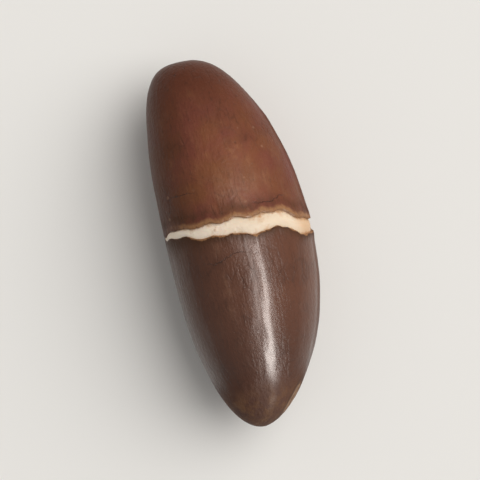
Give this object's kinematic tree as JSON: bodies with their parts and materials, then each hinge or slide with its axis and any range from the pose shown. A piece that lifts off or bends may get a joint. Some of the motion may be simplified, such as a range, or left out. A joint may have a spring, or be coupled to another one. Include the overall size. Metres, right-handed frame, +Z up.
{
  "type": "baru nut",
  "caption": "Whole roasted baru nut lying on its broad side: a long, slightly bowed brown seed whose glossy coat has split across the middle and shows the cream kernel.",
  "frame": {"origin": "below the middle of the seed's box, in the plane of the small flat spot it rests on", "axes": "+X along the seed, from its narrower tip with the hilum to its blunter tip; +Y across its width, away from the raphe and towards the side its two tips bend to; +Z up, across its thickness"},
  "size_m": [0.025, 0.0098, 0.0084],
  "materials": {
    "seed_coat": "satin",
    "kernel": "satin"
  },
  "bodies": {
    "root": {"baru_nut": "seed_coat"}
  },
  "joints": []
}
